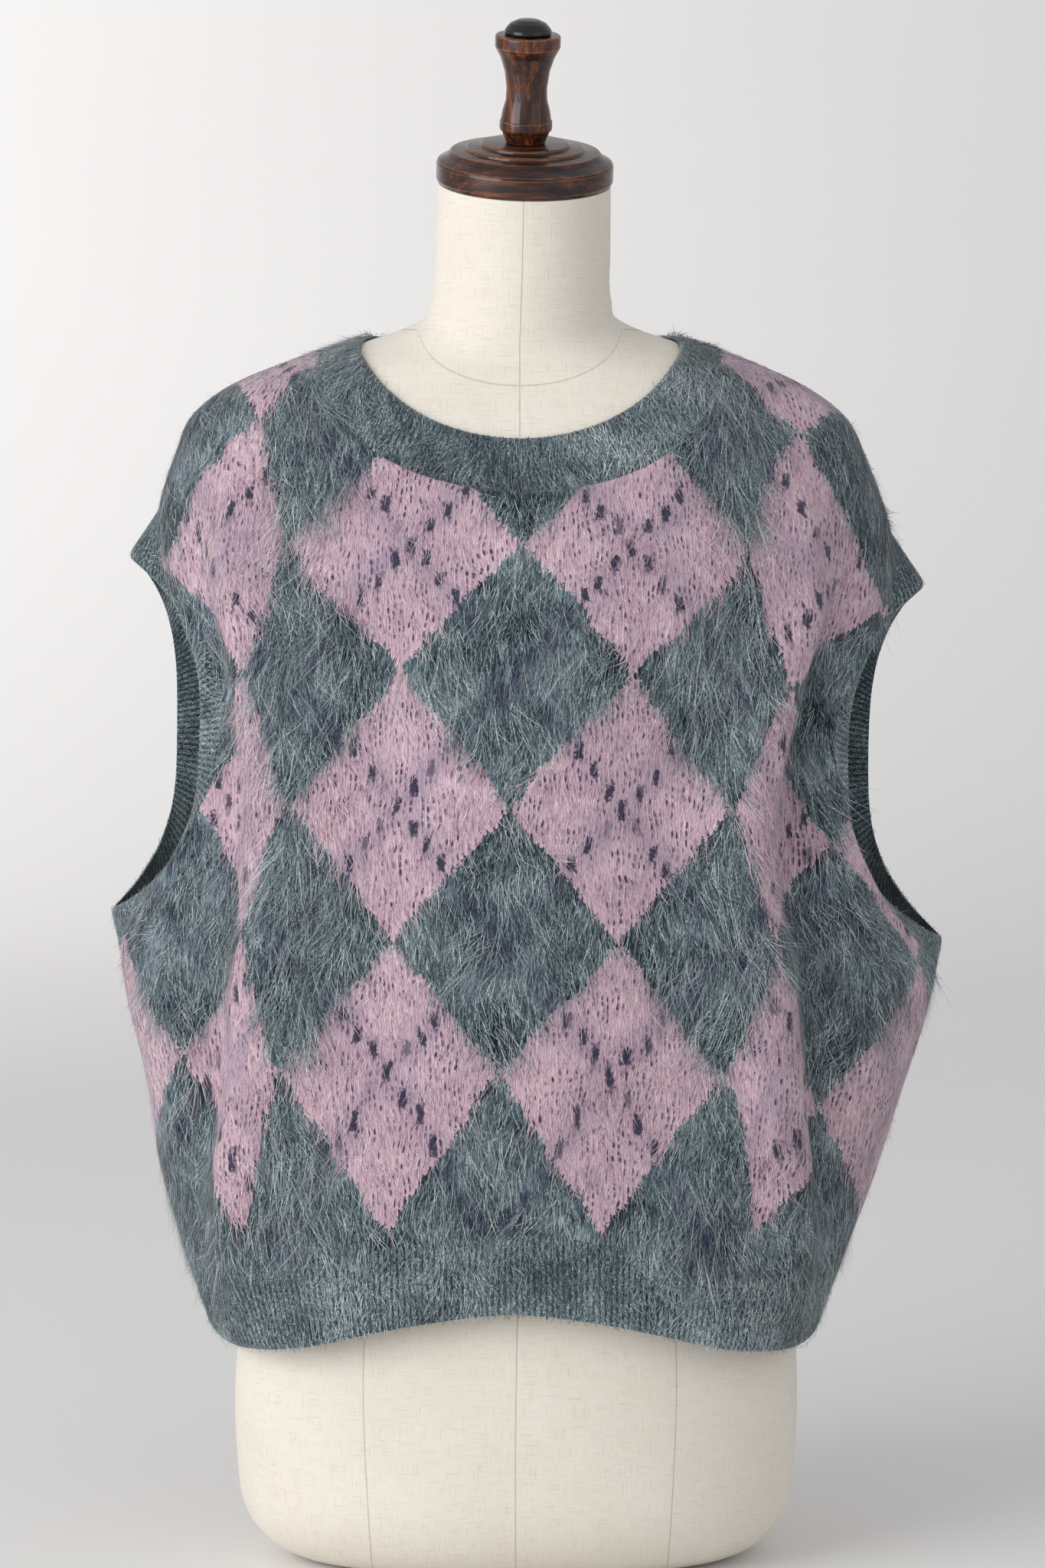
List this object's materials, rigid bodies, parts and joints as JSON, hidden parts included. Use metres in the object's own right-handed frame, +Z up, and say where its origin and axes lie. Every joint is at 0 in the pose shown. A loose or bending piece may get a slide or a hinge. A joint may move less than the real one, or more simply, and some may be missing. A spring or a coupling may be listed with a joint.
{
  "type": "knitted sweater vest on dress form",
  "caption": "Oversized cropped sleeveless pullover in brushed argyle knit with ribbed neckband, armbands and hem, worn on a limbless linen dress form with a turned wooden neck cap and finial",
  "frame": {"origin": "middle of the dress form's flat underside, on the floor plane", "axes": "+X is the wearer's left, towards the right of the picture, -Y is the front, +Z is up"},
  "size_m": [0.4927, 0.2904, 0.9078],
  "materials": {
    "linen": "plain-woven natural linen pulled tight over the form, matte, with fine slubs",
    "dark_turned_wood": "turned hardwood, dark walnut stain under clear gloss lacquer",
    "ebony_button": "turned wood stained almost black, glossy",
    "brushed_argyle_knit": "brushed mohair stocking-stitch knit, dusty pink diamonds on grey-blue, long soft pile",
    "plain_rib_knit": "brushed one-by-one rib knit in grey-blue, matte"
  },
  "bodies": {
    "root": {"form_body": "linen", "neck_cap": "dark_turned_wood", "finial": "dark_turned_wood", "finial_button": "ebony_button", "vest_front": "brushed_argyle_knit", "vest_back": "brushed_argyle_knit", "neckband": "plain_rib_knit", "armband_left": "plain_rib_knit", "armband_right": "plain_rib_knit", "hem_rib_front": "plain_rib_knit", "hem_rib_back": "plain_rib_knit"}
  },
  "joints": []
}
